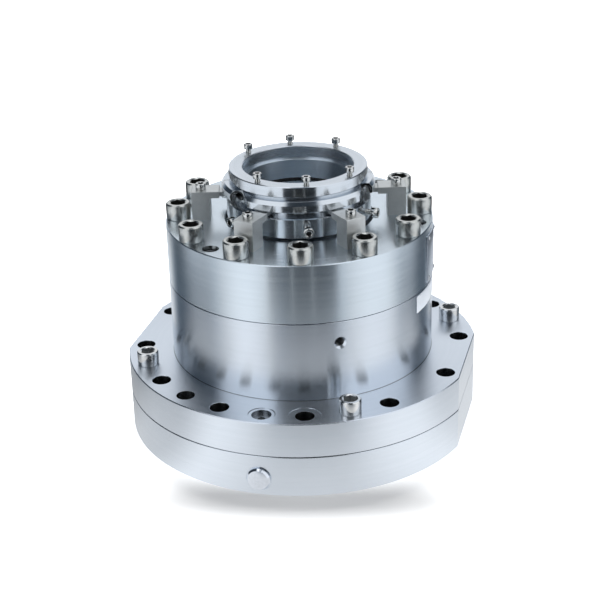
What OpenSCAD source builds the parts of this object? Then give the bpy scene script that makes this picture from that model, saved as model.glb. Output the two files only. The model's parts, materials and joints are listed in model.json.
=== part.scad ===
// Double cartridge mechanical seal, held by its transport setting plates.
// Frame: origin at the centre of the base flange's lower face, +Z along the
// shaft axis towards the drive collar. Azimuth az is measured from the front
// (-Y) towards +X, so az 90 points along +X.

/* [Flange] */
// Outer radius of the base flange and of the housing flange
flange_r = 175; // [172:0.5:185]
// Distance from the axis to each of the two parallel flats
flat_d = 167.5; // [167:0.5:171.5]
// Azimuth of the first flat's normal
flat_az = 75; // [74:1:76]
// Thickness of the base flange
base_h = 41.5; // [40:0.5:44]
// Height of the housing flange's upper face
flange_top = 76; // [70:0.5:90]
// Pitch circle radius of the flange holes
flange_pcr = 158.4; // [156:0.2:160]
// Radius of the flange's plain through holes
flange_hole_r = 9; // [7:0.25:9.5]

/* [Body] */
// Outer radius of the housing and of the cover
body_r = 130; // [129:0.5:134]
// Height of the joint between housing and cover
joint_z = 155; // [154:0.5:156]
// Height of the cover's upper face
cover_top = 213; // [212:0.5:214]
// Inner radius of the barrier chamber
chamber_r = 95; // [92:0.5:97]
// Pitch circle radius of the cover screws
cover_pcr = 117.5; // [115.5:0.5:118]
// Radius of the opening in the cover around the rotor
cover_bore_r = 72; // [71:0.5:73]

/* [Rotor] */
// Bore radius of the shaft sleeve
bore_r = 50; // [48:0.5:50]
// Outer radius of the shaft sleeve
sleeve_r = 56; // [55.9:0.1:56]
// Height of the sleeve's upper end and of the collar's upper face
collar_top = 252.2; // [251.5:0.1:252.4]
// Outer radius of the drive collar's disc
collar_r = 74.2; // [73:0.1:76]
// Outer radius of the drive collar's lower ring
collar_ring_r = 70; // [67:0.5:71]
// Radius of the floor of the groove that the setting plates reach into
groove_r = 62.5; // [60:0.5:64]
// Angle by which the rotor stands turned from the front
rotor_az = 5; // [0:1:10]

/* [Setting plates] */
// Width of a setting plate
plate_w = 20; // [16:1:24]
// Radius of the inner end of a setting plate's tongue
plate_tip_r = 65; // [64.5:0.5:68]
// Width of the tongue
tongue_w = 13; // [10:1:15]
// Radius of the inner end of the arm's full thickness
arm_end_r = 76.5; // [76:0.5:79]
// Height of the arm's upper face
plate_top = 241.7; // [241.3:0.1:241.8]
// Thickness of the arm
plate_t = 6.3; // [5:0.1:6.5]

/* [Nameplate] */
// Angle that the blank nameplate covers
name_deg = 18; // [12:0.5:30]
// Azimuth of the nameplate's middle
name_az = 76.6; // [60:0.1:100]
// Height of the blank nameplate
name_h = 48; // [40:1:50]

/* [Hidden] */
$fn = 96;

// Azimuth and height of the drain plug
plug_az = -14.6;
plug_z = 17.4;
// Azimuth of the first flange screw, and how far the ring screws are turned
flange_screw_az = 15.4;
ring_screw_az = 1.7;
ring_screw_r = 61.5;
// Sum of the heights of two points that mirror each other in the two seals
mirror_sum = 214;
// Heights of the inboard seal, from its seat up; the outboard one mirrors it
seat_z = 18;
seat_top = 38;
nose_z = 42;
face_z = 42.05;
face_back = 58;
ret_z = 62;
ret_top = 92;
spring_r = 66;
spring_floor = 76;
// Heights in the drive collar
ring_z = 214.7;
groove_z0 = 234.4;
groove_z1 = 242.1;
clamp_z = 245.5;
clamp_x = 61.5;
radial_z = 224.6;
// Clamp ring, and the azimuths of its screws on the rotor
ring_screws = [for (a = [-135, -45, 0, 45, 135, 180]) a + ring_screw_az];
cr_z = 254.3;
cr_top = 264.8;

steel = [0.78, 0.80, 0.84];
screw_steel = [0.74, 0.73, 0.68];
milled = [0.70, 0.72, 0.72];
rubber = [0.06, 0.06, 0.065];
ceramic = [0.16, 0.17, 0.19];
carbon = [0.10, 0.10, 0.105];

// ---- helpers ------------------------------------------------------------

// Moves to radius r at azimuth az
module at(r, az, z = 0) translate([r * sin(az), -r * cos(az), z]) children();

// Turns +X to point outwards at azimuth az
module facing(az) rotate([0, 0, az - 90]) children();

// Along a radius: z axis of the children points outwards, from radius r
module radially(r, az, z) facing(az) translate([r, 0, z]) rotate([0, 90, 0]) children();

module turned(pts) rotate_extrude($fn = 180) polygon(pts);

module mirrored_seal() translate([0, 0, mirror_sum]) mirror([0, 0, 1]) children();

// Cutter for one flat and its two edge chamfers, to be turned to the flat
module flat_cut(z0, z1, cb, ct)
  rotate([90, 0, 0])
    linear_extrude(height = 2 * flange_r, center = true)
      polygon([[flat_d - 0.9 * cb - 1.2, z0 - 1], [flat_d, z0 + 0.75 * cb], [flat_d, z1 - 0.75 * ct],
               [flat_d - 0.9 * ct - 1.2, z1 + 1], [flat_d + 30, z1 + 1], [flat_d + 30, z0 - 1]]);

module both_flats(z0, z1, cb, ct)
  for (a = [0, 180]) facing(flat_az + a) flat_cut(z0, z1, cb, ct);

// Drilled hole with a chamfered mouth at z1
module hole(r, z0, z1, c = 0.8) {
  translate([0, 0, z0 - 1]) cylinder(r = r, h = z1 - z0 + 2);
  if (c > 0) translate([0, 0, z1 - c]) cylinder(r1 = r, r2 = r + c + 0.01, h = c + 0.01);
}

// Socket head cap screw: head stands on z = 0, shank hangs below
module cap_screw(d, len, hd, hh, af, depth, c = 1) {
  difference() {
    rotate_extrude()
      polygon([[0, 0], [hd / 2 - 0.25, 0], [hd / 2, 0.25], [hd / 2, hh - c],
               [hd / 2 - c, hh], [0, hh]]);
    translate([0, 0, hh - depth])
      rotate([0, 0, 30]) cylinder(r = af / sqrt(3), h = depth + 1, $fn = 6);
    translate([0, 0, hh - af * 0.06])
      cylinder(r1 = af * 0.47, r2 = af / sqrt(3) + 0.15, h = af * 0.06 + 0.01);
  }
  translate([0, 0, -len]) cylinder(r1 = d / 2 - d * 0.09, r2 = d / 2, h = d * 0.09);
  translate([0, 0, -len + d * 0.09]) cylinder(r = d / 2, h = len - d * 0.09);
}

// Headless socket set screw with its driven end on z = 0
module set_screw(d, len, af)
  difference() {
    translate([0, 0, -len]) cylinder(r = d / 2, h = len);
    translate([0, 0, -d * 0.5]) cylinder(r = af / sqrt(3), h = d, $fn = 6);
  }

module oring(r, cord_r, z)
  translate([0, 0, z]) rotate_extrude() translate([r, 0]) circle(r = cord_r, $fn = 32);

// Open helical coil as one closed tube of flat facets
module coil(mean_r, wire_r, z0, z1, turns, per_turn = 8, sides = 5) {
  steps = turns * per_turn;
  rise = (z1 - z0 - 2 * wire_r) / steps;
  pts = [for (i = [0 : steps], j = [0 : sides - 1])
    let (a = 360 * i / per_turn, b = 360 * j / sides, r = mean_r + wire_r * cos(b))
      [r * cos(a), r * sin(a), z0 + wire_r + rise * i + wire_r * 0.98 * sin(b)]];
  skin = [for (i = [0 : steps - 1], j = [0 : sides - 1])
    let (k = (j + 1) % sides)
      each [[i * sides + j, (i + 1) * sides + j, (i + 1) * sides + k],
            [i * sides + j, (i + 1) * sides + k, i * sides + k]]];
  ends = [[for (j = [0 : sides - 1]) j], [for (j = [sides - 1 : -1 : 0]) steps * sides + j]];
  polyhedron(points = pts, faces = concat(skin, ends), convexity = 8);
}

// ---- stationary pieces --------------------------------------------------

// Lower disc: carries the inboard seat, the register for the housing, the
// seal groove on its pump side and the drain drillings
module base_flange() color(steel) difference() {
  turned([[59.5, 0], [111.8, 0], [111.8, 3.4], [118.2, 3.4], [118.2, 0],
          [flange_r - 1, 0], [flange_r, 1], [flange_r, base_h - 0.9], [flange_r - 0.4, base_h - 0.5],
          [169, base_h - 0.5], [169, base_h],
          [107.2, base_h], [107.2, base_h - 3.2], [101.8, base_h - 3.2], [101.8, base_h],
          [chamber_r - 0.3, base_h], [chamber_r - 0.3, base_h + 4.5], [chamber_r - 0.8, base_h + 5],
          [79, base_h + 5], [79, seat_z], [58.5, seat_z], [58.5, 1]]);
  both_flats(0, base_h, 1, 0.5);
  for (i = [0 : 11]) at(flange_pcr, 30 * i) {
    hole(flange_hole_r, -1, base_h, 0.4);
  }
  for (i = [0 : 3]) at(flange_pcr, flange_screw_az + 90 * i, 14) cylinder(r = 7.05, h = 40);
  // drain: radial drilling behind the plug, met by an axial one from the chamber
  radially(84, plug_az, plug_z) cylinder(r = 3, h = 80);
  radially(158, plug_az, plug_z) cylinder(r = 8.05, h = 30);
  radially(174.2, plug_az, plug_z) cylinder(r = 12.4, h = 10);
  at(88, plug_az, plug_z) cylinder(r = 3, h = 40);
  at(75.3, 180, 10) cylinder(r = 2.25, h = 20);
}

// Flange and lower body turned in one piece
module seal_housing() color(steel) difference() {
  turned([[chamber_r, base_h], [flange_r - 0.5, base_h], [flange_r, base_h + 0.5],
          [flange_r, flange_top - 0.8], [flange_r - 0.8, flange_top], [body_r, flange_top],
          [body_r, joint_z - 0.8], [body_r - 0.4, joint_z - 0.4], [126.6, joint_z - 0.4], [126.6, joint_z],
          [105.2, joint_z], [105.2, joint_z - 3.2], [99.8, joint_z - 3.2], [99.8, joint_z],
          [chamber_r + 0.6, joint_z], [chamber_r, joint_z - 0.6]]);
  both_flats(base_h, flange_top, 0.5, 0.8);
  for (i = [0 : 11]) at(flange_pcr, 30 * i) hole(flange_hole_r, base_h, flange_top, 0.3);
  for (i = [0 : 3]) at(flange_pcr, flange_screw_az + 90 * i) hole(7.75, base_h, flange_top, 0.3);
  // jacking thread, and a blind thread in a flat recess with its spot face
  at(flange_pcr, -45) hole(7, base_h, flange_top, 0);
  at(flange_pcr, -45, flange_top - 12) cylinder(r = 8.8, h = 20);
  at(flange_pcr, -14.6, flange_top - 26) cylinder(r = 3.4, h = 40);
  at(flange_pcr, -14.6, flange_top - 4.8) cylinder(r = 9.4, h = 10);
  at(flange_pcr, -14.6, flange_top - 0.4) cylinder(r = 12.5, h = 4);
  // shallow spot face around the front hole
  at(flange_pcr, 0, flange_top - 0.25) cylinder(r = 15.4, h = 4);
  for (i = [0 : 11]) at(cover_pcr, 30 * i, 127) cylinder(r = 8.05, h = 40);
  // barrier fluid ports, front and rear
  for (a = [15.5, 195.5]) {
    radially(85, a, 133.3) cylinder(r = 4, h = 60);
    radially(body_r - 2.2, a, 133.3) cylinder(r1 = 4, r2 = 6.2, h = 2.3);
  }
}

// Upper body: carries the outboard seat
module top_cover() color(steel) difference() {
  turned([[88, joint_z - 5], [chamber_r - 0.8, joint_z - 5], [chamber_r - 0.3, joint_z - 4.5],
          [chamber_r - 0.3, joint_z], [body_r - 0.5, joint_z], [body_r, joint_z + 0.5],
          [body_r, cover_top - 0.8], [body_r - 0.8, cover_top],
          [cover_bore_r + 1, cover_top], [cover_bore_r, cover_top - 1],
          [cover_bore_r, mirror_sum - seat_z], [79, mirror_sum - seat_z], [79, 167.5], [88, 167.5]]);
  for (i = [0 : 11]) at(cover_pcr, 30 * i, joint_z - 10) cylinder(r = 8.75, h = 100);
  for (a = [-105, -45, 75, 135]) at(cover_pcr, a) {
    hole(7, joint_z - 2, cover_top, 0);
    translate([0, 0, cover_top - 3]) cylinder(r1 = 7, r2 = 8.004, h = 3.012);
  }
  for (i = [0 : 5]) at(94.5, 30 + 60 * i, 198) cylinder(r = 3.05, h = 40);
  for (a = [name_az - 6.35, name_az + 6.35], z = [160.9, 202.1]) radially(124, a, z) cylinder(r = 1.3, h = 20);
  at(75.3, 180, 190) cylinder(r = 2.25, h = 13);
}

module cover_screws() color(screw_steel)
  for (i = [0 : 11]) at(cover_pcr, 30 * i, cover_top) rotate([0, 0, 30 * i * 0.7])
    cap_screw(16, 80, 24, 16, 14, 8, 1.3);

module flange_screws() color(screw_steel)
  for (i = [0 : 3]) at(flange_pcr, flange_screw_az + 90 * i, flange_top)
    cap_screw(14, 60, 21, 14, 12, 7, 1.0);

// One setting plate: a post on the cover, an arm beside the collar's disc and
// a thinner tongue that reaches into its groove
module setting_plate(az) color(milled) facing(az) difference() {
  union() {
    rotate([90, 0, 0]) linear_extrude(height = plate_w, center = true)
      polygon([[85.6, cover_top], [103.5, cover_top], [103.5, plate_top - 0.5],
               [103, plate_top], [arm_end_r + 0.5, plate_top], [arm_end_r, plate_top - 0.5],
               [arm_end_r, plate_top - plate_t], [85.6, plate_top - plate_t]]);
    translate([plate_tip_r, -tongue_w / 2, plate_top - plate_t + 0.6])
      cube([arm_end_r - plate_tip_r + 1, tongue_w, plate_t - 2]);
  }
  translate([94.5, 0, cover_top - 1]) cylinder(r = 3.3, h = 40);
}
module setting_plate_1() setting_plate(30);
module setting_plate_2() setting_plate(90);
module setting_plate_3() setting_plate(150);
module setting_plate_4() setting_plate(210);
module setting_plate_5() setting_plate(270);
module setting_plate_6() setting_plate(330);

module setting_plate_screws() color(screw_steel)
  for (i = [0 : 5]) at(94.5, 30 + 60 * i, plate_top) rotate([0, 0, 25 * i])
    cap_screw(6, 40, 10, 6, 5, 3, 0.6);

// Thin wall piece that follows the body's side
module wall_patch(t, deg, mid_az, z0, z1, gap = 0.02)
  rotate([0, 0, mid_az - 90 - deg / 2])
    rotate_extrude(angle = deg, $fn = 180)
      translate([body_r + gap, z0]) square([t, z1 - z0]);

module nameplate() color([0.72, 0.75, 0.80]) difference() {
  wall_patch(1, name_deg, name_az, 181.5 - name_h / 2, 181.5 + name_h / 2);
  for (a = [name_az - 6.35, name_az + 6.35], z = [160.9, 202.1]) radially(124, a, z) cylinder(r = 1.3, h = 20);
}

module nameplate_rivets() color([0.80, 0.82, 0.85])
  for (a = [name_az - 6.35, name_az + 6.35], z = [160.9, 202.1]) radially(body_r + 1.05, a, z) {
    translate([0, 0, -5]) cylinder(r = 1.25, h = 5.2);
    intersection() {
      cylinder(r = 2.3, h = 2);
      translate([0, 0, -2.4]) sphere(r = 3.4);
    }
  }

module label() color([0.95, 0.96, 0.97]) wall_patch(0.2, 44, 79.5, 135, 152.5);

// Threaded plug of the drain port, with a domed head
module base_plug() color(steel) radially(174.25, plug_az, plug_z) {
  intersection() {
    union() {
      cylinder(r = 11.4, h = 2.6);
      translate([0, 0, 2.59]) cylinder(r1 = 11.4, r2 = 8.9, h = 3.6);
    }
    translate([0, 0, 6 - 40]) sphere(r = 40, $fn = 180);
  }
  translate([0, 0, -15]) cylinder(r = 8, h = 15.5);
}

// ---- seal parts, drawn for the inboard side ------------------------------

module seat() difference() {
  turned([[59.5, seat_z], [78.7, seat_z], [78.7, 26.5], [74.2, 26.5], [74.2, 31.5], [78.7, 31.5],
          [78.7, seat_top], [68, seat_top], [68, nose_z], [61, nose_z], [61, seat_top], [59.5, seat_top]]);
  at(75.3, 180, 10) cylinder(r = 2.6, h = 13);
}
module seat_pin() at(75.3, 180, 11) cylinder(r = 2.2, h = 11);

module face() difference() {
  turned([[56.3, 43.5], [60, 43.5], [60, face_z], [69.5, face_z], [69.5, 46], [74, 46],
          [74, face_back], [56.3, face_back], [56.3, 54], [60.9, 54], [60.9, 49], [56.3, 49]]);
  for (a = [30, 210]) at(spring_r, a, 49.5) cylinder(r = 2.9, h = 20);
}

module retainer() difference() {
  turned([[56.1, ret_z], [75.4, ret_z], [76, ret_z + 0.6], [76, ret_top - 1], [75, ret_top], [56.1, ret_top]]);
  for (i = [0 : 5]) at(spring_r, 60 * i, ret_z - 1) cylinder(r = 4, h = spring_floor - ret_z + 1);
  for (a = [30, 210]) at(spring_r, a, ret_z - 1) cylinder(r = 2.55, h = 13.2);
  for (a = [30, 150, 270]) radially(50, a, 84) cylinder(r = 3.05, h = 40);
}
module retainer_screws()
  for (a = [30, 150, 270]) radially(74.5, a, 84) set_screw(6, 18.3, 3);
module drive_pins()
  for (a = [30, 210]) at(spring_r, a, 52.5) cylinder(r = 2.5, h = 21.5);
module springs()
  for (i = [0 : 5]) at(spring_r, 60 * i) coil(3, 0.7, face_back + 0.03, spring_floor - 0.03, 5);

module inboard_seat() color(ceramic) seat();
module outboard_seat() color(ceramic) mirrored_seal() seat();
module inboard_seat_oring() color(rubber) oring(76.6, 2.3, 29);
module outboard_seat_oring() color(rubber) oring(76.6, 2.3, mirror_sum - 29);
module inboard_seat_pin() color(screw_steel) seat_pin();
module outboard_seat_pin() color(screw_steel) mirrored_seal() seat_pin();
module inboard_face() color(carbon) face();
module outboard_face() color(carbon) mirrored_seal() face();
module inboard_face_oring() color(rubber) oring(58.6, 2.2, 51.5);
module outboard_face_oring() color(rubber) oring(58.6, 2.2, mirror_sum - 51.5);
module inboard_retainer() color(steel) retainer();
module outboard_retainer() color(steel) mirrored_seal() retainer();
module inboard_retainer_screws() color(screw_steel) retainer_screws();
module outboard_retainer_screws() color(screw_steel) mirrored_seal() retainer_screws();
module inboard_drive_pins() color(screw_steel) drive_pins();
module outboard_drive_pins() color(screw_steel) mirrored_seal() drive_pins();
module inboard_springs() color(screw_steel) springs();
module outboard_springs() color(screw_steel) mirrored_seal() springs();

module housing_oring() color(rubber) oring(104.5, 1.5, base_h - 1.65);
module cover_oring() color(rubber) oring(102.5, 1.5, joint_z - 1.65);
module chamber_oring() color(rubber) oring(115, 1.5, 1.75);

// ---- rotor --------------------------------------------------------------

module shaft_sleeve() color(steel) difference() {
  turned([[bore_r + 0.8, 1], [sleeve_r - 0.6, 1], [sleeve_r, 1.6], [sleeve_r, collar_top],
          [bore_r + 0.4, collar_top], [bore_r, collar_top - 0.4],
          [bore_r, 233], [53.6, 233], [53.6, 229], [bore_r, 229],
          [bore_r, 14], [53.6, 14], [53.6, 10], [bore_r, 10], [bore_r, 1.8]]);
  for (i = [0 : 5]) radially(40, rotor_az + 1 + 60 * i, radial_z) cylinder(r = 3.2, h = 40);
}
module upper_sleeve_oring() color(rubber) oring(51.85, 1.7, 231);
module lower_sleeve_oring() color(rubber) oring(51.85, 1.7, 12);

// Split drive collar, both halves together, drawn with the split along X
module collar_whole() difference() {
  turned([[57, ring_z], [collar_ring_r - 0.8, ring_z], [collar_ring_r, ring_z + 0.8],
          [collar_ring_r, groove_z0 - 0.8], [collar_ring_r - 0.8, groove_z0],
          [groove_r, groove_z0], [groove_r, groove_z1],
          [collar_r - 0.35, groove_z1], [collar_r, groove_z1 + 0.35],
          [collar_r, collar_top - 3.5], [collar_r - 2.5, collar_top],
          [sleeve_r + 0.05, collar_top], [sleeve_r + 0.05, ring_z + 0.95]]);
  for (a = ring_screws) at(ring_screw_r, a, 244) cylinder(r = 2.52, h = 20);
  for (i = [0 : 5]) radially(50, 1 + 60 * i, radial_z) cylinder(r = 3.02, h = 40);
  // clamp screws: milled pocket, counterbore and drilling, from the front
  for (s = [-1, 1]) translate([s * clamp_x, 0, clamp_z]) rotate([90, 0, 0]) {
    translate([0, 0, 31]) cylinder(r = 9, h = 60);
    translate([0, 0, 8]) cylinder(r = 5.2, h = 60);
    translate([0, 0, -0.2]) cylinder(r = 2.75, h = 60);
    translate([0, 0, -20]) cylinder(r = 2.52, h = 21);
  }
}
module collar_half(s) color(steel) rotate([0, 0, rotor_az]) difference() {
  collar_whole();
  translate([-100, s > 0 ? -200 + 0.5 : -0.5, 200]) cube([200, 200, 80]);
}
module collar_front_half() collar_half(-1);
module collar_rear_half() collar_half(1);

module clamp_ring() color(steel) rotate([0, 0, rotor_az]) difference() {
  turned([[53.5, collar_top], [64.5, collar_top], [64.5, cr_z], [66.4, cr_z], [67, cr_z + 0.6],
          [67, cr_top - 0.7], [66.3, cr_top], [54.2, cr_top], [53.5, cr_top - 0.7]]);
  for (a = ring_screws) at(ring_screw_r, a) hole(2.75, collar_top, cr_top, 0.3);
}
module clamp_ring_screws() color(screw_steel) rotate([0, 0, rotor_az])
  for (a = ring_screws) at(ring_screw_r, a, 268.6) rotate([0, 0, a * 0.4])
    cap_screw(5, 24, 8.5, 5, 4, 2.5, 0.5);
module collar_radial_screws() color(screw_steel) rotate([0, 0, rotor_az])
  for (i = [0 : 5]) radially(76.3, 1 + 60 * i, radial_z) rotate([0, 0, 20 * i])
    cap_screw(6, 24, 10, 6, 5, 3, 0.6);
module collar_clamp_screws() color(screw_steel) rotate([0, 0, rotor_az])
  for (s = [-1, 1]) translate([s * clamp_x, -8, clamp_z]) rotate([90, 0, 0])
    cap_screw(5, 26, 8.5, 5, 4, 2.5, 0.5);

base_flange();
seal_housing();
top_cover();
cover_screws();
flange_screws();
setting_plate_1();
setting_plate_2();
setting_plate_3();
setting_plate_4();
setting_plate_5();
setting_plate_6();
setting_plate_screws();
nameplate();
nameplate_rivets();
label();
base_plug();
inboard_seat();
outboard_seat();
inboard_seat_oring();
outboard_seat_oring();
inboard_seat_pin();
outboard_seat_pin();
housing_oring();
cover_oring();
chamber_oring();
shaft_sleeve();
upper_sleeve_oring();
lower_sleeve_oring();
collar_front_half();
collar_rear_half();
clamp_ring();
clamp_ring_screws();
collar_radial_screws();
collar_clamp_screws();
inboard_retainer();
outboard_retainer();
inboard_retainer_screws();
outboard_retainer_screws();
inboard_drive_pins();
outboard_drive_pins();
inboard_springs();
outboard_springs();
inboard_face();
inboard_face_oring();
outboard_face();
outboard_face_oring();
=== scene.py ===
import json
import math

import bpy
import numpy as np
from mathutils import Matrix, Vector

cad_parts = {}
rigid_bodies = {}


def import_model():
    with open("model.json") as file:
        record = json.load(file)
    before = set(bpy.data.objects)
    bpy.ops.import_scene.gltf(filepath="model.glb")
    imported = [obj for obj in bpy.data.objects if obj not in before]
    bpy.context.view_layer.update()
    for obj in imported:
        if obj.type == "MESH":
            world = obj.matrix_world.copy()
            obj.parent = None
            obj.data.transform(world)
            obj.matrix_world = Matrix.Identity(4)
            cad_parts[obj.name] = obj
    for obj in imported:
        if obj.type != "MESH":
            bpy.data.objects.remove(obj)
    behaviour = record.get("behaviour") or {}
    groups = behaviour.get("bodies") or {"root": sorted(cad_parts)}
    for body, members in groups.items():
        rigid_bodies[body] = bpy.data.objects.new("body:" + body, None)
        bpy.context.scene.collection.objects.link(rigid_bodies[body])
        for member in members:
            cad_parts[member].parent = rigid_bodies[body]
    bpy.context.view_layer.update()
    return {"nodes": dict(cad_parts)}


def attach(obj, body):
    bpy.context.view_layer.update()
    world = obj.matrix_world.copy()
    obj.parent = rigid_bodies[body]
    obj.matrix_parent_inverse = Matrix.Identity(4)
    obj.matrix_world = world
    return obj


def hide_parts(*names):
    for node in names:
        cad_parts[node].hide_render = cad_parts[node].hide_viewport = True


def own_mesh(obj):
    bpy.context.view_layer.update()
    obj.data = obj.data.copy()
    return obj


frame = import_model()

NODES = frame["nodes"]
MM = 0.001
ROTOR = 5.0  # the rotor stands turned by this many degrees


# ---- node helpers -----------------------------------------------------------


class Graph:
    """Short hand for wiring the nodes of one tree."""

    def __init__(self, tree):
        self.tree = tree

    def node(self, kind, **props):
        n = self.tree.nodes.new(kind)
        for k, v in props.items():
            setattr(n, k, v)
        return n

    def plug(self, socket, value):
        if isinstance(value, bpy.types.NodeSocket):
            self.tree.links.new(value, socket)
        else:
            socket.default_value = value

    def math(self, op, a, b=None, c=None, clamp=False):
        n = self.node("ShaderNodeMath", operation=op, use_clamp=clamp)
        self.plug(n.inputs[0], a)
        if b is not None:
            self.plug(n.inputs[1], b)
        if c is not None:
            self.plug(n.inputs[2], c)
        return n.outputs[0]

    def remap(self, value, a0, a1, b0, b1, smooth=False):
        n = self.node("ShaderNodeMapRange", clamp=True)
        if smooth:
            n.interpolation_type = "SMOOTHSTEP"
        self.plug(n.inputs["Value"], value)
        for name, v in (("From Min", a0), ("From Max", a1), ("To Min", b0), ("To Max", b1)):
            self.plug(n.inputs[name], v)
        return n.outputs["Result"]

    def mix(self, factor, a, b):
        n = self.node("ShaderNodeMix", data_type="RGBA")
        self.plug(n.inputs[0], factor)
        for s, v in ((n.inputs[6], a), (n.inputs[7], b)):
            self.plug(s, v if isinstance(v, bpy.types.NodeSocket) else (*v, 1.0))
        return n.outputs[2]

    def noise(self, vector, scale, detail=2.0, rough=0.5, dims="3D"):
        n = self.node("ShaderNodeTexNoise", noise_dimensions=dims)
        if dims == "1D":
            self.plug(n.inputs["W"], vector)
        else:
            self.plug(n.inputs["Vector"], vector)
        n.inputs["Scale"].default_value = scale
        n.inputs["Detail"].default_value = detail
        n.inputs["Roughness"].default_value = rough
        return n.outputs["Fac"]

    def object_coords(self):
        return self.node("ShaderNodeTexCoord").outputs["Object"]

    def split(self, vector):
        n = self.node("ShaderNodeSeparateXYZ")
        self.plug(n.inputs[0], vector)
        return n.outputs[0], n.outputs[1], n.outputs[2]

    def bump(self, height, distance, strength=1.0, normal=None):
        n = self.node("ShaderNodeBump")
        n.inputs["Strength"].default_value = strength
        n.inputs["Distance"].default_value = distance
        self.plug(n.inputs["Height"], height)
        if normal is not None:
            self.plug(n.inputs["Normal"], normal)
        return n.outputs["Normal"]


def material(name, metallic, colour, roughness, **sockets):
    m = bpy.data.materials.new(name)
    m.use_nodes = True
    t = m.node_tree
    t.nodes.clear()
    g = Graph(t)
    p = g.node("ShaderNodeBsdfPrincipled")
    out = g.node("ShaderNodeOutputMaterial")
    t.links.new(p.outputs[0], out.inputs[0])
    p.inputs["Base Color"].default_value = (*colour, 1.0)
    p.inputs["Metallic"].default_value = metallic
    p.inputs["Roughness"].default_value = roughness
    for k, v in sockets.items():
        p.inputs[k.replace("_", " ")].default_value = v
    m.diffuse_color = (*colour, 1.0)
    return m, g, p


# ---- materials ----------------------------------------------------------------


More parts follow.
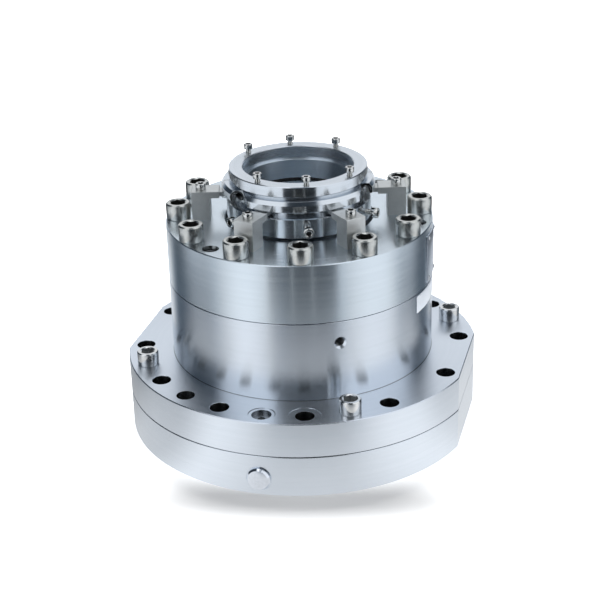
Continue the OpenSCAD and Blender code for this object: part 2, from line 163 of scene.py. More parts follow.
def lathe_metal(name, low, high, rough, face_rough, grain, aniso, smudge=0.03, edge=0.25, mottle=0.0, bore_rough=0.0, drilled=(), crossed=None, corner=None, recess=None):
    """Metal turned about the object's Z axis: fine rings on flat faces, fine lines round the walls.
    low and high are the ends of its colour, rough the mean roughness of walls and face_rough that of
    flat faces, bore_rough that of walls facing the axis, grain how deep the tool lines are in microns.
    drilled lists holes along Z, (pitch radius, azimuth, every so many degrees, hole radius): their walls are painted
    dark, as shade.
    crossed is the same for a pair of level holes: (offset from the axis, height, turn about Z, hole radius), with a
    darker painted shade.
    corner is an inner corner (radius, height) with a fine dark line of painted shade.
    recess is one recess from above (pitch radius, azimuth, radius, radius of its spot face, height): painted shade
    darkens it below the face, with a dark rim of painted shade at the sides of its spot face."""
    m, g, p = material(name, 1.0, high, rough, Anisotropic=aniso, Anisotropic_Rotation=0.25)
    co = g.object_coords()
    x, y, z = g.split(co)
    r = g.math("SQRT", g.math("ADD", g.math("MULTIPLY", x, x), g.math("MULTIPLY", y, y)))
    across = g.math("MULTIPLY", g.math("ADD", r, z), 1000.0)  # mm across the tool lines, on walls and faces alike
    fine = g.noise(across, 3.1, 3.0, 0.6, "1D")
    slow = g.noise(across, 0.22, 2.0, 0.55, "1D")
    cloud = g.noise(co, 12.0, 3.0, 0.6)
    spots = g.noise(co, 55.0, 3.0, 0.65)
    up = g.math("ABSOLUTE", g.split(g.node("ShaderNodeNewGeometry").outputs["True Normal"])[2])
    # colour: tool lines a little lighter and darker, with slow clouds of handling
    tone = g.math("ADD", g.math("MULTIPLY", fine, 0.28), g.math("ADD", g.math("MULTIPLY", slow, 0.30), g.math("MULTIPLY", cloud, 0.42)))
    skin = g.mix(g.remap(tone, 0.34, 0.64, 0.0, 1.0), low, high)
    hole_shade = None
    az = g.math("MULTIPLY", g.math("ARCTAN2", x, g.math("MULTIPLY", y, -1.0)), 180.0 / math.pi)
    # painted shade: the walls of the listed holes are masked for a dark colour
    for pitch_r, first, step, hole_r in drilled:
        off = g.math("MULTIPLY", g.math("WRAP", g.math("SUBTRACT", az, first), step / 2.0, -step / 2.0), math.pi / 180.0)
        u = g.math("MULTIPLY", r, g.math("SINE", off))
        w = g.math("SUBTRACT", g.math("MULTIPLY", r, g.math("COSINE", off)), pitch_r * MM)
        d = g.math("SQRT", g.math("ADD", g.math("MULTIPLY", u, u), g.math("MULTIPLY", w, w)))
        m_ = g.remap(d, (hole_r + 0.1) * MM, (hole_r + 0.35) * MM, 1.0, 0.0)
        hole_shade = m_ if hole_shade is None else g.math("MAXIMUM", hole_shade, m_)
    if hole_shade is not None:
        hole_shade = g.math("MULTIPLY", hole_shade, g.remap(up, 0.3, 0.6, 1.0, 0.0))
    # painted shade: the walls of the pair of level holes are masked for a near-black colour
    if crossed:
        away, level, turned_by, hole_r = crossed
        c, s_ = math.cos(math.radians(turned_by)), math.sin(math.radians(turned_by))
        u = g.math("ABSOLUTE", g.math("ADD", g.math("MULTIPLY", x, c), g.math("MULTIPLY", y, s_)))
        u, w = g.math("SUBTRACT", u, away * MM), g.math("SUBTRACT", z, level * MM)
        d = g.math("SQRT", g.math("ADD", g.math("MULTIPLY", u, u), g.math("MULTIPLY", w, w)))
        hole_shade = g.remap(d, (hole_r + 0.1) * MM, (hole_r + 0.3) * MM, 1.0, 0.0)
    # painted shade on the hole walls: mid grey for drilled holes, near black for the crossed ones
    if hole_shade is not None:
        skin = g.mix(hole_shade, skin, (0.24, 0.255, 0.26) if drilled else (0.08, 0.085, 0.09))
    # painted shade: darker inside the recess below the face, and a dark line of shade along its spot face's edge at the
    # left and right, towards the axis
    if recess:
        pitch_r, first, hole_r, spot_r, top = recess
        off = g.math("MULTIPLY", g.math("SUBTRACT", az, first), math.pi / 180.0)
        u = g.math("MULTIPLY", r, g.math("SINE", off))
        w = g.math("SUBTRACT", g.math("MULTIPLY", r, g.math("COSINE", off)), pitch_r * MM)
        d = g.math("SQRT", g.math("ADD", g.math("MULTIPLY", u, u), g.math("MULTIPLY", w, w)))
        deep = g.math("MULTIPLY", g.remap(d, (hole_r + 0.2) * MM, (hole_r + 0.4) * MM, 0.66, 0.0), g.remap(z, (top - 1.2) * MM, (top - 0.6) * MM, 1.0, 0.0))
        skin = g.mix(deep, skin, (0.14, 0.15, 0.165))
        rim_shade = g.remap(g.math("ABSOLUTE", g.math("SUBTRACT", d, (spot_r + 0.1) * MM)), 0.25 * MM, 0.6 * MM, 0.8, 0.0)
        rim_shade = g.math("MULTIPLY", rim_shade, g.remap(w, -1.0 * MM, 4.0 * MM, 1.0, 0.0))
        rim_shade = g.math("MULTIPLY", rim_shade, g.remap(g.math("ABSOLUTE", u), 4.0 * MM, 8.0 * MM, 0.0, 1.0))
        skin = g.mix(rim_shade, skin, (0.10, 0.11, 0.12))
    # painted shade: a fine dark line round the inner corner where the body meets the flange
    if corner:
        du, dw = g.math("SUBTRACT", r, corner[0] * MM), g.math("SUBTRACT", z, corner[1] * MM)
        d = g.math("SQRT", g.math("ADD", g.math("MULTIPLY", du, du), g.math("MULTIPLY", dw, dw)))
        skin = g.mix(g.remap(d, 0.30 * MM, 0.65 * MM, 0.66, 0.0), skin, (0.14, 0.15, 0.16))
    g.plug(p.inputs["Base Color"], skin)
    # roughness: lines and faint wiped marks
    wiped = g.remap(spots, 0.45, 0.75, 0.0, 1.0)
    wall = rough
    if bore_rough:
        nx, ny, nz = g.split(g.node("ShaderNodeNewGeometry").outputs["True Normal"])
        out_ = g.math("DIVIDE", g.math("ADD", g.math("MULTIPLY", nx, x), g.math("MULTIPLY", ny, y)), r)
        wall = g.remap(out_, -0.6, -0.4, bore_rough, rough)
    mean = g.remap(up, 0.75, 0.95, wall, face_rough)
    ra = g.math("MULTIPLY_ADD", g.math("SUBTRACT", fine, 0.5), 0.06, mean)
    ra = g.math("MULTIPLY_ADD", g.math("SUBTRACT", slow, 0.5), 0.04, ra)
    ra = g.math("MULTIPLY_ADD", g.math("MULTIPLY", wiped, cloud), smudge, ra)
    g.plug(p.inputs["Roughness"], g.math("MAXIMUM", ra, 0.04))
    rounded = g.node("ShaderNodeBevel", samples=4)
    rounded.inputs["Radius"].default_value = edge * MM
    height = g.math("MULTIPLY_ADD", slow, 0.12, g.math("MULTIPLY", fine, 0.30))
    if mottle:
        # slow waviness of a hand polished wall, which bends the reflections a little
        height = g.math("MULTIPLY_ADD", g.noise(co, 22.0, 1.5, 0.5), mottle, height)
    height = g.math("MULTIPLY", height, g.remap(up, 0.75, 0.95, 1.0, 0.35))
    g.plug(p.inputs["Normal"], g.bump(height, grain * 1e-6, 1.0, rounded.outputs[0]))
    tangent = g.node("ShaderNodeTangent", direction_type="RADIAL", axis="Z")
    g.plug(p.inputs["Tangent"], tangent.outputs[0])
    return m


def plain_metal(name, low, high, rough, spread=0.06, scale=90.0, depth=3.0, metallic=1.0, lines=None, line_depth=4.0, edge=0.0):
    """Metal with a fine irregular skin, as on cold formed screws; lines = (direction, per mm) adds milled strokes."""
    m, g, p = material(name, metallic, high, rough)
    co = g.object_coords()
    a = g.noise(co, scale * 1.0, 4.0, 0.62)
    b = g.noise(co, scale * 9.0, 2.0, 0.6)
    mixed = g.math("ADD", g.math("MULTIPLY", a, 0.65), g.math("MULTIPLY", b, 0.35))
    g.plug(p.inputs["Base Color"], g.mix(g.remap(mixed, 0.36, 0.64, 0.0, 1.0), low, high))
    ra = g.math("MULTIPLY_ADD", g.math("SUBTRACT", mixed, 0.5), spread * 4.0, rough)
    height = b
    if lines:
        (dx, dy, dz), per_mm = lines
        x, y, z = g.split(co)
        along = g.math("ADD", g.math("MULTIPLY", x, dx), g.math("ADD", g.math("MULTIPLY", y, dy), g.math("MULTIPLY", z, dz)))
        stroke = g.noise(g.math("MULTIPLY", along, 1000.0 * per_mm), 1.0, 3.0, 0.6, "1D")
        ra = g.math("MULTIPLY_ADD", g.math("SUBTRACT", stroke, 0.5), 0.10, ra)
        height = g.math("ADD", g.math("MULTIPLY", b, 0.3), stroke)
        depth = line_depth
    g.plug(p.inputs["Roughness"], g.math("MAXIMUM", ra, 0.05))
    normal = None
    if edge:
        rounded = g.node("ShaderNodeBevel", samples=4)
        rounded.inputs["Radius"].default_value = edge * MM
        normal = rounded.outputs[0]
    g.plug(p.inputs["Normal"], g.bump(height, depth * 1e-6, 1.0, normal))
    return m


def dull(name, low, high, rough, scale, depth, coat=0.0):
    """Rubber, carbon, ceramic and film: no metal, a fine grain and slow clouds."""
    m, g, p = material(name, 0.0, high, rough)
    if coat:
        p.inputs["Coat Weight"].default_value = coat
        p.inputs["Coat Roughness"].default_value = 0.15
    co = g.object_coords()
    a = g.noise(co, scale * 0.06, 3.0, 0.55)
    b = g.noise(co, scale, 3.0, 0.6)
    g.plug(p.inputs["Base Color"], g.mix(g.remap(g.math("ADD", g.math("MULTIPLY", a, 0.6), g.math("MULTIPLY", b, 0.4)), 0.35, 0.65, 0.0, 1.0), low, high))
    g.plug(p.inputs["Roughness"], g.math("MULTIPLY_ADD", g.math("SUBTRACT", b, 0.5), 0.25, rough))
    g.plug(p.inputs["Normal"], g.bump(b, depth * 1e-6))
    return m


mats = {
    # the body's hole walls, its inner corner and its port recess carry painted shade
    "turned": lathe_metal("turned_steel_look", (0.745, 0.80, 0.865), (0.80, 0.85, 0.915), 0.24, 0.31, 0.14, 0.80, mottle=2.0,
                          drilled=((158.4, 0.0, 30.0, 9.0), (158.4, -45.0, 360.0, 8.8)), corner=(130.0, 76.0), recess=(158.4, -14.6, 9.4, 12.5, 76.0)),
    # the cover's empty holes carry painted shade on their walls
    "turned_cover": lathe_metal("turned_cover_look", (0.745, 0.82, 0.88), (0.80, 0.872, 0.93), 0.24, 0.25, 0.14, 0.80, mottle=2.0,
                                drilled=((117.5, -45.0, 180.0, 8.0), (117.5, 75.0, 180.0, 8.0))),
    # the collar's level clamp screw holes carry painted shade
    "bright": lathe_metal("polished_steel_look", (0.69, 0.735, 0.78), (0.77, 0.81, 0.855), 0.15, 0.24, 0.08, 0.60, 0.02, bore_rough=0.27,
                          crossed=(61.5, 245.5, ROTOR, 6.4)),
    "sleeve": lathe_metal("sleeve_steel_look", (0.68, 0.75, 0.82), (0.76, 0.83, 0.89), 0.30, 0.32, 0.10, 0.82),
    "screw": plain_metal("screw_nickel", (0.60, 0.605, 0.58), (0.71, 0.71, 0.68), 0.26, 0.018, 520.0, 2.0),
    "bright_screw": plain_metal("bright_screw_nickel", (0.76, 0.765, 0.76), (0.86, 0.86, 0.85), 0.20, 0.015, 520.0, 1.0),
    # socket colours: their dark is partly oily steel and partly painted shade inside the socket; the M14 one is lighter
    "pale_socket": plain_metal("pale_socket_metal", (0.42, 0.43, 0.43), (0.56, 0.57, 0.57), 0.42, 0.03, 260.0, 2.0),
    "small_screw": plain_metal("small_screw_nickel", (0.62, 0.62, 0.60), (0.80, 0.80, 0.78), 0.13, 0.03, 700.0, 1.5),
    "socket": plain_metal("screw_socket", (0.030, 0.030, 0.028), (0.075, 0.074, 0.07), 0.42, 0.05, 900.0, 10.0, 0.5),
    "plug": plain_metal("plug_steel_look", (0.74, 0.78, 0.84), (0.84, 0.88, 0.95), 0.12, 0.03, 300.0, 1.5),
    "milled": plain_metal("milled_steel_look", (0.71, 0.72, 0.71), (0.77, 0.78, 0.77), 0.47, 0.012, 260.0, 0.5, 1.0, ((0.0, 0.0, 1.0), 2.2), 0.5, 0.35),
    # dark thread colour: painted shade inside the tapped holes
    "thread": plain_metal("thread_steel_look", (0.10, 0.105, 0.11), (0.18, 0.185, 0.19), 0.42, 0.05, 500.0, 3.0),
    "plate": plain_metal("nameplate_metal", (0.66, 0.72, 0.80), (0.76, 0.82, 0.89), 0.30, 0.03, 180.0, 2.0, 1.0, ((0.0, 0.0, 1.0), 3.0), 1.0),
    "rivet": plain_metal("rivet_metal_look", (0.72, 0.74, 0.76), (0.86, 0.88, 0.90), 0.2, 0.04, 900.0, 3.0),
    "film": dull("label_film_look", (0.80, 0.855, 0.93), (0.87, 0.92, 0.99), 0.42, 900.0, 2.0, 0.3),
    "ceramic": dull("seat_ceramic_look", (0.030, 0.032, 0.036), (0.055, 0.058, 0.064), 0.28, 1500.0, 2.0, 0.4),
    "carbon": dull("face_carbon_look", (0.018, 0.018, 0.019), (0.036, 0.036, 0.038), 0.38, 2500.0, 3.0),
    "rubber": dull("seal_rubber_look", (0.010, 0.010, 0.011), (0.022, 0.022, 0.023), 0.5, 1800.0, 8.0),
    "spring": plain_metal("spring_steel_look", (0.55, 0.57, 0.60), (0.72, 0.74, 0.77), 0.26, 0.05, 600.0, 3.0),
}

LOOKS = {
    "base_flange": "turned", "seal_housing": "turned", "top_cover": "turned_cover",
    "shaft_sleeve": "sleeve", "collar_front_half": "bright", "collar_rear_half": "bright",
    "clamp_ring": "bright", "inboard_retainer": "bright", "outboard_retainer": "bright",
    "base_plug": "plug", "nameplate": "plate", "nameplate_rivets": "rivet", "label": "film",
    "inboard_seat": "ceramic", "outboard_seat": "ceramic",
    "inboard_face": "carbon", "outboard_face": "carbon",
}
for name, o in NODES.items():
    if name.startswith("setting_plate_") and not name.endswith("screws"):
        look = "milled"
    elif name.endswith("oring"):
        look = "rubber"
    elif name.endswith("springs"):
        look = "spring"
    elif name in LOOKS:
        look = LOOKS[name]
    else:
        look = "screw"
    o.data.materials.clear()
    o.data.materials.append(mats[look])

# the tool lines run round the rotor's axis, also on its half rings
for name in ("collar_front_half", "collar_rear_half"):
    me = NODES[name].data
    me.use_auto_texspace = False
    me.texspace_location = (0.0, 0.0, 0.234)
    me.texspace_size = (0.1, 0.1, 0.1)


# ---- pieces: helpers -----------------------------------------------------------


def turn_x(d):
    return np.array(Matrix.Rotation(math.radians(d), 4, "X"))


def turn_y(d):
    return np.array(Matrix.Rotation(math.radians(d), 4, "Y"))


def turn_z(d):
    return np.array(Matrix.Rotation(math.radians(d), 4, "Z"))


def move(x, y, z):
    return np.array(Matrix.Translation((x, y, z)))


def at(r, az, z=0.0):
    """Moves to radius r at azimuth az, measured from the front (-Y) towards +X."""
    a = math.radians(az)
    return move(r * math.sin(a), -r * math.cos(a), z)


def radially(r, az, z):
    """The piece's z axis points outwards at azimuth az, from radius r."""
    return turn_z(az - 90.0) @ move(r, 0.0, z) @ turn_y(90.0)


class Shell:
    """Collects closed rows of points in millimetres into one mesh."""

    def __init__(self):
        self.verts, self.faces, self.ids, self.count = [], [], [], 0

    def add(self, verts, faces, ids=None, place=None):
        v = np.asarray(verts, float)
        if place is not None:
            v = v @ place[:3, :3].T + place[:3, 3]
        self.verts.append(v)
        self.faces += [tuple(i + self.count for i in f) for f in faces]
        self.ids += list(ids) if ids is not None else [0] * len(faces)
        self.count += len(v)

    def finish(self, name, body, materials, replaced=(), sharp=32.0):
        me = bpy.data.meshes.new(name)
        me.from_pydata((np.concatenate(self.verts) * MM).tolist(), [], self.faces)
        for m in materials:
            me.materials.append(m)
        me.polygons.foreach_set("material_index", np.array(self.ids, np.int32))
        me.update()
        me.shade_smooth()
        me.set_sharp_from_angle(angle=math.radians(sharp))
        o = bpy.data.objects.new(name, me)
        bpy.context.scene.collection.objects.link(o)
        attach(o, body)
        if replaced:
            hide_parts(*replaced)
        return o


def bridge(rows, n, ids=None, closed=True):
    """Quads between rows of n points each; ids gives one material number per gap."""
    faces, out = [], []
    for k in range(rows - 1):
        for i in range(n if closed else n - 1):
            j = (i + 1) % n
            faces.append((k * n + i, k * n + j, (k + 1) * n + j, (k + 1) * n + i))
            out.append(ids[k] if ids is not None else 0)
    return faces, out


def cap_screw(d, length, hd, hh, af, depth, c, pitch, threaded, n=48, per_pitch=6):
    """Socket head cap screw with a cut thread: the head stands on z = 0 and the shank hangs below."""
    th = np.arange(n) * 2 * math.pi / n
    one = np.ones(n)
    rows = []

    def row(r, z):
        rows.append(np.stack([r * np.cos(th), r * np.sin(th), z * one], 1))

    major, cut = d / 2, 0.55 * pitch
    steps = int(round(threaded / pitch * per_pitch))
    for k in range(steps + 1):
        z = -length + k * pitch / per_pitch
        phase = (z / pitch - th / (2 * math.pi)) % 1.0
        tooth = np.clip((np.abs(2 * phase - 1) - 0.12) / 0.74, 0.0, 1.0)
        fade = min(1.0, (threaded - k * pitch / per_pitch) / (1.5 * pitch))
        r = major - cut * (1 - tooth) * fade
        lead = major - cut - 0.1 * d + (z + length) * 1.0 + 0.12 * d
        row(np.minimum(r, lead), z)
    gaps = [0] * steps
    e = 0.12 * c
    for r, z in ((major, -length + threaded + 0.2), (major, -0.02 * d), (major, 0.0), (hd / 2 - 0.045 * hd, 0.0),
                 (hd / 2 - 0.012 * hd, 0.012 * hd), (hd / 2, 0.045 * hd), (hd / 2, hh - c - e), (hd / 2 - 0.3 * e, hh - c + 0.4 * e),
                 (hd / 2 - c + e, hh - 0.5 * e), (hd / 2 - c - e, hh)):
        row(r * one, z)
        gaps.append(0)
    # socket: entry cone down to the hexagon, walls and a drilled floor
    corner = af / math.sqrt(3)
    mouth = corner + 0.03 * af
    hexa = (af / 2) / np.cos((th % (math.pi / 3)) - math.pi / 6)
    # corners of the hexagon lie at 30 degrees and every 60 degrees from there
    hexa = np.roll(hexa, n // 12)
    row(mouth * one, hh)
    gaps.append(0)
    rows.append(np.stack([hexa * np.cos(th), hexa * np.sin(th), hh - (mouth - hexa) * 0.62], 1))
    gaps.append(0)
    for zz in (hh - 0.35 * depth, hh - depth):
        rows.append(np.stack([hexa * np.cos(th), hexa * np.sin(th), zz * one], 1))
        gaps.append(1)
    row(af * 0.30 * one, hh - depth - 0.02 * af)
    gaps.append(1)
    verts = np.concatenate(rows)
    faces, ids = bridge(len(rows), n, gaps)
    tip, floor = len(verts), len(verts) + 1
    verts = np.concatenate([verts, [[0, 0, -length]], [[0, 0, hh - depth - 0.14 * af]]])
    last = (len(rows) - 1) * n
    for i in range(n):
        j = (i + 1) % n
        faces.append((tip, j, i))
        ids.append(0)
        faces.append((last + i, last + j, floor))
        ids.append(1)
    return verts, faces, ids


def screws(name, body, node, spec, places):
    look = mats[{16: "screw", 14: "bright_screw"}.get(spec[0], "small_screw")]
    v, f, ids = cap_screw(*spec)
    s = Shell()
    for p in places:
        s.add(v, f, ids, p)
    # the socket walls and floor take the dark socket colour, partly painted shade
    return s.finish(name, body, [look, mats["pale_socket" if spec[0] == 14 else "socket"]], [node], 28.0)


# ---- fasteners ------------------------------------------------------------------

PLATE_TOP = 241.7

screws("m16_cover_screws", "stator", "cover_screws", (16, 80, 24, 16, 14, 8, 1.3, 2.0, 44.0, 72, 5),
       [at(117.5, 30 * i, 213) @ turn_z(21 * i) for i in range(12)])
screws("m14_flange_screws", "stator", "flange_screws", (14, 60, 21, 14, 12, 7, 1.0, 2.0, 40.0, 60, 5),
       [at(158.4, 15.4 + 90 * i, 76) for i in range(4)])
screws("m6_plate_screws", "stator", "setting_plate_screws", (6, 40, 10, 6, 5, 3, 0.6, 1.0, 24.0, 48, 5),
       [at(94.5, 30 + 60 * i, PLATE_TOP) @ turn_z(25 * i) for i in range(6)])
screws("m5_ring_screws", "rotor", "clamp_ring_screws", (5, 24, 8.5, 5, 4, 2.5, 0.5, 0.8, 24.0, 48, 8),
       [turn_z(ROTOR) @ at(61.5, a + 1.7, 268.6) @ turn_z((a + 1.7) * 0.4) for a in (-135, -45, 0, 45, 135, 180)])
screws("m6_radial_screws", "rotor", "collar_radial_screws", (6, 24, 10, 6, 5, 3, 0.6, 1.0, 24.0, 48, 5),
       [turn_z(ROTOR) @ radially(76.3, 1 + 60 * i, 224.6) @ turn_z(20 * i) for i in range(6)])
screws("m5_clamp_screws", "rotor", "collar_clamp_screws", (5, 26, 8.5, 5, 4, 2.5, 0.5, 0.8, 16.0, 48, 6),
       [turn_z(ROTOR) @ move(s * 61.5, -8, 245.5) @ turn_x(90.0) for s in (-1, 1)])


# ---- springs --------------------------------------------------------------------


def tube(path, wire, sides, closed_ends=True):
    """Round wire along a path of points."""
    p = np.asarray(path, float)
    t = np.gradient(p, axis=0)
    t /= np.linalg.norm(t, axis=1)[:, None]
    out = p * [1, 1, 0]
    out /= np.linalg.norm(out, axis=1)[:, None]
    up = np.cross(t, out)
    up /= np.linalg.norm(up, axis=1)[:, None]
    out = np.cross(up, t)
    a = np.arange(sides) * 2 * math.pi / sides
    v = (p[:, None, :] + wire * (np.cos(a)[None, :, None] * out[:, None, :] + np.sin(a)[None, :, None] * up[:, None, :])).reshape(-1, 3)
    f, _ = bridge(len(p), sides)
    f = [tuple(reversed(q)) for q in f]
    f.append(tuple(range(sides)))
    f.append(tuple(reversed(range((len(p) - 1) * sides, len(p) * sides))))
    return v, f


def spring(mean_r, wire, z0, z1, turns=6.5, per_turn=26, sides=12):
    """Compression spring with its end turns wound close."""
    n = int(turns * per_turn) + 1
    t = np.linspace(0.0, turns, n)
    closed = 0.9
    rate = 1.0 + 2.2 * np.clip((np.minimum(t, turns - t) - closed) / 0.6, 0.0, 1.0)
    z = np.concatenate([[0.0], np.cumsum((rate[1:] + rate[:-1]) / 2)])
    z = z0 + wire + z / z[-1] * (z1 - z0 - 2 * wire)
    return tube(np.stack([mean_r * np.cos(2 * math.pi * t), mean_r * np.sin(2 * math.pi * t), z], 1), wire, sides)


for name, node, joint, low_z, high_z, anchor in (
    ("inboard_coils", "inboard_springs", "inboard_face_float", 58.06, 75.95, 76.0),
    ("outboard_coils", "outboard_springs", "outboard_face_float", 138.05, 155.94, 138.0),
):
    v, f = spring(3.0, 0.68, 0.0, high_z - low_z)
    s = Shell()
    for i in range(6):
        s.add(v, f, None, at(66, 60 * i, low_z) @ turn_z(40 * i))
    o = s.finish(name, "rotor", [mats["spring"]], [node], 60.0)
    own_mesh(o)


# ---- threads in the tapped holes ---------------------------------------------------


def ridge(wall, pitch, z0, z1, height, per_turn=40):
    """Thread ridge on the wall of a hole, fading out at both ends; it dips a little into the wall."""
    turns = (z1 - z0) / pitch
    n = int(turns * per_turn) + 1
    t = np.linspace(0.0, turns, n)
    grow = np.clip(np.minimum(t, turns - t) / 0.7, 0.03, 1.0)
    z = z0 + pitch * t
    a = 2 * math.pi * t
    rings = []
    for r, dz in ((wall + 0.12 + 0 * t, 0.42 * pitch), (wall + 0.12 + 0 * t, -0.42 * pitch),
                  (wall - height * grow, -0.06 * pitch), (wall - height * grow, 0.06 * pitch)):
        rings.append(np.stack([r * np.cos(a), r * np.sin(a), z + dz], 1))
    v = np.stack(rings, 1).reshape(-1, 3)
    f, _ = bridge(n, 4)
    f.append((3, 2, 1, 0))
    last = (n - 1) * 4
    f.append((last, last + 1, last + 2, last + 3))
    return v, f


# the thread ridges in the empty tapped holes are coloured dark, as painted shade
s = Shell()
v, f = ridge(7.0, 2.0, 0.0, 24.0, 0.75)
for a in (-105, -45, 75, 135):
    s.add(v, f, None, at(117.5, a, 213 - 3.6 - 24.0))
v, f = ridge(7.0, 2.0, 0.0, 20.0, 0.75)
s.add(v, f, None, at(158.4, -45, 43.0))
v, f = ridge(4.0, 1.25, 0.0, 18.0, 0.5)
for a in (15.5, 195.5):
    s.add(v, f, None, radially(127.4 - 18.0, a, 133.3))
v, f = ridge(3.4, 1.25, 0.0, 16.0, 0.5)
s.add(v, f, None, at(158.4, -14.6, 71.2 - 0.6 - 16.0))
s.finish("tapped_threads", "stator", [mats["thread"]], (), 40.0)


# ---- nameplate and label -------------------------------------------------------------


def wall_sheet(r0, r1, deg, mid_az, z0, z1, corner, edge, columns):
    """Curved sheet with rounded corners and a small bevel, closed on all sides."""
    half = math.radians(deg / 2) * r1
    inner = np.linspace(-half + corner, half - corner, columns)
    round_ = corner * (1 - np.cos(np.linspace(0, math.pi / 2, 9)))
    u = np.unique(np.concatenate([-half + round_, inner, half - round_]).round(5))
    d = np.clip(corner - (half - np.abs(u)), 0.0, corner)
    inset = corner - np.sqrt(np.maximum(corner ** 2 - d ** 2, 0.0))
    rings = []
    for k, (uu, ins) in enumerate(zip(u, inset)):
        a = math.radians(mid_az) + uu / r1
        lo, hi = z0 + ins, z1 - ins
        e = edge if 0 < k < len(u) - 1 else edge * 0.5
        for r, z in ((r0, lo), (r0, hi), (r1 - e, hi), (r1 - 0.3 * e, hi - 0.3 * e), (r1, hi - e), (r1, lo + e), (r1 - 0.3 * e, lo + 0.3 * e), (r1 - e, lo)):
            rr = r if 0 < k < len(u) - 1 else min(r, r1 - e)
            rings.append((rr * math.sin(a), -rr * math.cos(a), z))
    f, _ = bridge(len(u), 8)
    f.append(tuple(reversed(range(8))))
    last = (len(u) - 1) * 8
    f.append(tuple(range(last, last + 8)))
    return rings, f


s = Shell()
s.add(*wall_sheet(130.02, 131.02, 18.0, 76.6, 157.5, 205.5, 2.2, 0.28, 30))
s.finish("blank_nameplate", "stator", [mats["plate"]], ["nameplate"], 50.0)
s = Shell()
s.add(*wall_sheet(130.02, 130.22, 44.0, 79.5, 135.0, 152.5, 1.2, 0.05, 60))
s.finish("blank_label", "stator", [mats["film"]], ["label"], 50.0)


# ---- camera -------------------------------------------------------------------

cam = bpy.data.cameras.new("camera")
cam.lens = 89.32
cam.sensor_width = 36.0
cam_o = bpy.data.objects.new("camera", cam)
bpy.context.scene.collection.objects.link(cam_o)
eye = Vector((-0.0015, -1.3568, 0.7386))
aim = Vector((-0.0015, 0.0, 0.1207))
turn = (aim - eye).to_track_quat("-Z", "Y").to_matrix().to_4x4()
cam_o.matrix_world = Matrix.Translation(eye) @ turn @ Matrix.Rotation(math.radians(-1.563), 4, "Z")
cam.clip_end = 100.0
bpy.context.scene.camera = cam_o


# ---- studio -------------------------------------------------------------------


def stage_mesh(name, verts, faces, mat):
    me = bpy.data.meshes.new(name)
    me.from_pydata(verts, [], faces)
    me.materials.append(mat)
    o = bpy.data.objects.new(name, me)
    bpy.context.scene.collection.objects.link(o)
    return o


def disc(r, z, n=96):
    return [(r * math.cos(2 * math.pi * i / n), r * math.sin(2 * math.pi * i / n), z) for i in range(n)], [tuple(range(n))]


def studio_floor():
    m = bpy.data.materials.new("pale_floor")
    m.use_nodes = True
    g = Graph(m.node_tree)
    m.node_tree.nodes.clear()
    d = g.node("ShaderNodeBsdfDiffuse")
    d.inputs["Color"].default_value = (0.95, 0.95, 0.95, 1)
    e = g.node("ShaderNodeEmission")
    e.inputs["Color"].default_value = (1, 1, 1, 1)
    # the floor glows, except where a soft shadow is painted into its glow and its colour, in front of the object; the
    # lamp's real shadow falls there too
    x, y, z = g.split(g.object_coords())
    px = g.math("POWER", g.math("ABSOLUTE", g.math("DIVIDE", g.math("ADD", x, 0.003), 0.176)), 3.0)
    py = g.math("DIVIDE", g.math("ADD", y, g.math("MULTIPLY_ADD", x, 0.067, 0.182)), 0.052)
    off = g.math("SQRT", g.math("ADD", g.math("MULTIPLY", px, px), g.math("MULTIPLY", py, py)))
    shade = g.remap(off, 0.10, 1.0, 1.0, 0.0, True)
    g.plug(e.inputs["Strength"], g.math("MULTIPLY_ADD", shade, -0.50, 0.80))
    grey = g.math("MULTIPLY_ADD", shade, -0.33, 0.95)
    tint = g.node("ShaderNodeCombineColor")
    for k in range(3):
        g.plug(tint.inputs[k], grey)
    g.plug(d.inputs["Color"], tint.outputs[0])
    add = g.node("ShaderNodeAddShader")
    out = g.node("ShaderNodeOutputMaterial")
    g.plug(add.inputs[0], d.outputs[0])
    g.plug(add.inputs[1], e.outputs[0])
    g.plug(out.inputs[0], add.outputs[0])
    v, f = disc(30.0, -0.0002)
    o = stage_mesh("floor", v, f, m)
    o.visible_glossy = False
    return o


def glow(name, strength, colour=(1, 1, 1)):
    m = bpy.data.materials.new(name)
    m.use_nodes = True
    m.node_tree.nodes.clear()
    g = Graph(m.node_tree)
    e = g.node("ShaderNodeEmission")
    e.inputs["Color"].default_value = (*colour, 1)
    e.inputs["Strength"].default_value = strength
    out = g.node("ShaderNodeOutputMaterial")
    g.plug(out.inputs[0], e.outputs[0])
    return m, g, e, out


floor = studio_floor()

# pale sheet under the object, fading out away from it: only the metal sees it
m, g, e, out = glow("sheet_glow", 0.88, (0.97, 0.985, 1.0))
x, y, z = g.split(g.object_coords())
r = g.math("SQRT", g.math("ADD", g.math("MULTIPLY", x, x), g.math("MULTIPLY", y, y)))
clear = g.node("ShaderNodeBsdfTransparent")
fade = g.node("ShaderNodeMixShader")
side = g.math("ABSOLUTE", g.math("MULTIPLY", g.math("ARCTAN2", x, g.math("MULTIPLY", y, -1.0)), 180.0 / math.pi))
level = g.math("MULTIPLY_ADD", g.remap(side, 10.0, 45.0, 0.0, 1.0, True), 0.28, 0.77)
left = g.math("MULTIPLY", g.math("ARCTAN2", x, g.math("MULTIPLY", y, -1.0)), 180.0 / math.pi)
level = g.math("MULTIPLY", level, g.remap(left, -112.0, -72.0, 0.62, 1.0, True))
level = g.math("MULTIPLY", level, g.remap(left, -62.0, -38.0, 0.68, 1.0, True))
g.plug(e.inputs["Strength"], g.math("MULTIPLY", level, g.remap(left, 48.0, 75.0, 1.0, 0.80, True)))
solid = g.remap(r, 0.19, 0.56, 1.0, 0.0, True)
rear = g.math("MULTIPLY", g.remap(side, 86.0, 112.0, 0.0, 1.0, True), g.remap(r, 0.24, 0.32, 0.0, 1.0, True))
g.plug(fade.inputs[0], g.math("MULTIPLY", solid, g.math("SUBTRACT", 1.0, rear)))
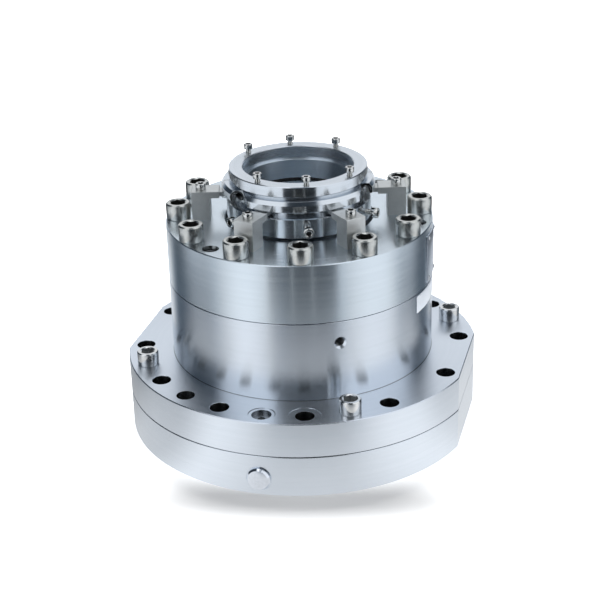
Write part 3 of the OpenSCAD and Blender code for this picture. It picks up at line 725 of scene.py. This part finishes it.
g.plug(fade.inputs[1], clear.outputs[0])
g.plug(fade.inputs[2], e.outputs[0])
g.plug(out.inputs[0], fade.outputs[0])
v, f = disc(0.56, -0.0004)
sheet = stage_mesh("sheet", v, f, m)
sheet.visible_camera = sheet.visible_diffuse = sheet.visible_shadow = sheet.visible_transmission = False

# dark under the object itself, where no light comes in
v, f = disc(1.0, -0.0003, 144)
v = [(q[0] * k, q[1] * k, q[2]) for q in v for k in (min(0.1735, 0.1662 / max(1e-6, abs(q[0] * math.sin(math.radians(75)) - q[1] * math.cos(math.radians(75))))),)]
under = stage_mesh("under", v, f, glow("under_dark", 0.01)[0])

# a little light at the far end of the shaft bore
m, g, e, out = glow("bore_end_glow", 1.0, (0.90, 0.96, 1.0))
x, y, z = g.split(g.object_coords())
g.plug(e.inputs["Strength"], g.remap(x, -0.035, 0.035, 0.15, 1.1, True))
v, f = disc(0.0495, -0.00025)
bore_end = stage_mesh("bore_end", v, f, m)

# pale cards on the floor further out, left and right of a dark gap in front, and two thin light stands in it
m, g, e, out = glow("card_glow", 1.0, (0.93, 0.98, 1.04))
x, y, z = g.split(g.object_coords())
side = g.math("MULTIPLY", g.math("ARCTAN2", x, g.math("MULTIPLY", y, -1.0)), 180.0 / math.pi)
lit = g.math("ADD", g.remap(side, -26.5, -20.5, 1.0, 0.0, True), g.remap(side, 23.0, 29.0, 0.0, 1.0, True))
lit = g.math("MULTIPLY", lit, g.remap(g.math("ABSOLUTE", side), 92.0, 118.0, 1.0, 0.1, True))
g.plug(e.inputs["Strength"], g.math("MULTIPLY_ADD", lit, 0.90, 0.045))
n = 96
v = [(q * math.cos(2 * math.pi * i / n), q * math.sin(2 * math.pi * i / n), -0.0004) for q in (0.602, 1.1) for i in range(n)]
f = [(i, (i + 1) % n, n + (i + 1) % n, n + i) for i in range(n)]
cards = stage_mesh("cards", v, f, m)


def strip(name, strength, colour, boxes, y=-0.45):
    """Upright cards in front of the object, which only the metal sees: boxes are (x0, x1, z0, z1)."""
    mat = glow(name, strength, colour)[0]
    v, f = [], []
    for k, (x0, x1, z0, z1) in enumerate(boxes):
        v += [(x0, y, z0), (x1, y, z0), (x1, y, z1), (x0, y, z1)]
        f.append(tuple(range(4 * k, 4 * k + 4)))
    return stage_mesh(name, v, f, mat)


dark = strip("dark_flags", 0.012, (0.9, 1.0, 1.05), [(-0.200, 0.228, 0.062, 0.165), (-0.180, 0.245, 0.20, 0.66)])
thin = strip("light_slits", 1.3, (0.97, 1.0, 0.985), [(-0.054, -0.044, 0.066, 0.10), (0.060, 0.070, 0.066, 0.10)], -0.449)
for o in (under, bore_end, cards, dark, thin):
    o.visible_camera = o.visible_diffuse = o.visible_shadow = o.visible_transmission = False

# white room behind the horizon, for views from low down
m, g, e, out = glow("room_glow", 1.0)
n = 48
v = [(28.0 * math.cos(2 * math.pi * i / n), 28.0 * math.sin(2 * math.pi * i / n), z) for z in (-1.0, 30.0) for i in range(n)]
f = [(i, (i + 1) % n, n + (i + 1) % n, n + i) for i in range(n)] + [tuple(range(n, 2 * n))]
room = stage_mesh("room", v, f, m)
room.visible_glossy = room.visible_diffuse = room.visible_shadow = room.visible_transmission = False

# soft light from large panels all round, as a sky: brighter panels left and right of the camera, and behind
world = bpy.data.worlds.new("studio")
bpy.context.scene.world = world
world.use_nodes = True
world.node_tree.nodes.clear()
g = Graph(world.node_tree)
x, y, z = g.split(g.node("ShaderNodeTexCoord").outputs["Generated"])
az = g.math("MULTIPLY", g.math("ARCTAN2", x, g.math("MULTIPLY", y, -1.0)), 180.0 / math.pi)
el = g.math("MULTIPLY", g.math("ARCSINE", z), 180.0 / math.pi)


def panel(mid, flat, soft_low, soft_high, level):
    """A panel at azimuth mid: full over flat degrees each way, fading over its own soft degrees on each side."""
    off = g.math("WRAP", g.math("SUBTRACT", az, mid), 180.0, -180.0)
    rise = g.remap(off, -flat - soft_low, -flat, 0.0, 1.0, True)
    fall = g.remap(off, flat, flat + soft_high, 1.0, 0.0, True)
    return g.math("MULTIPLY", g.math("MULTIPLY", rise, fall), level)


# seen below the horizon the side panels fade softly; above it their edges are crisp
below = g.math("ADD", 0.12, g.math("ADD", panel(-52.0, 2.0, 36.0, 46.0, 0.84), panel(70.0, 6.0, 46.0, 24.0, 0.76)))
above = g.math("ADD", 0.05, g.math("ADD", panel(-51.0, 22.0, 10.0, 10.0, 0.92), panel(70.0, 30.0, 10.0, 14.0, 0.92)))
rise = g.remap(el, -3.0, 3.0, 0.0, 1.0)
light = g.math("ADD", g.math("MULTIPLY", above, rise), g.math("MULTIPLY", below, g.math("SUBTRACT", 1.0, rise)))
light = g.math("ADD", light, panel(180.0, 20.0, 26.0, 26.0, 0.80))
light = g.math("ADD", light, g.remap(el, 62.0, 84.0, 0.0, 0.8, True))
bg = g.node("ShaderNodeBackground")
g.plug(bg.inputs["Color"], g.mix(g.remap(light, 0.12, 0.55, 0.0, 1.0), (0.62, 0.82, 1.06), (0.94, 0.975, 1.02)))
# the pieces' matt surfaces and the floor get less of it than the metal mirrors
soft = g.node("ShaderNodeLightPath").outputs["Is Diffuse Ray"]
g.plug(bg.inputs["Strength"], g.math("MULTIPLY", light, g.remap(soft, 0.0, 1.0, 1.0, 0.55)))
g.plug(g.node("ShaderNodeOutputWorld").inputs[0], bg.outputs[0])


def softbox(name, az_deg, el_deg, dist, size, watts, glossy=True):
    a, e_ = math.radians(az_deg), math.radians(el_deg)
    spot = Vector((math.sin(a) * math.cos(e_), -math.cos(a) * math.cos(e_), math.sin(e_))) * dist
    d = bpy.data.lights.new(name, "AREA")
    d.shape = "RECTANGLE"
    d.size, d.size_y = size
    d.energy = watts
    o = bpy.data.objects.new(name, d)
    o.matrix_world = Matrix.Translation(spot + Vector((0, 0, 0.1))) @ (-spot).to_track_quat("-Z", "Y").to_matrix().to_4x4()
    o.visible_glossy = glossy
    bpy.context.scene.collection.objects.link(o)
    return o


softbox("key_behind", 180.0, 68.0, 2.2, (0.9, 0.7), 55.0, False)
bpy.context.scene.view_settings.view_transform = "Standard"
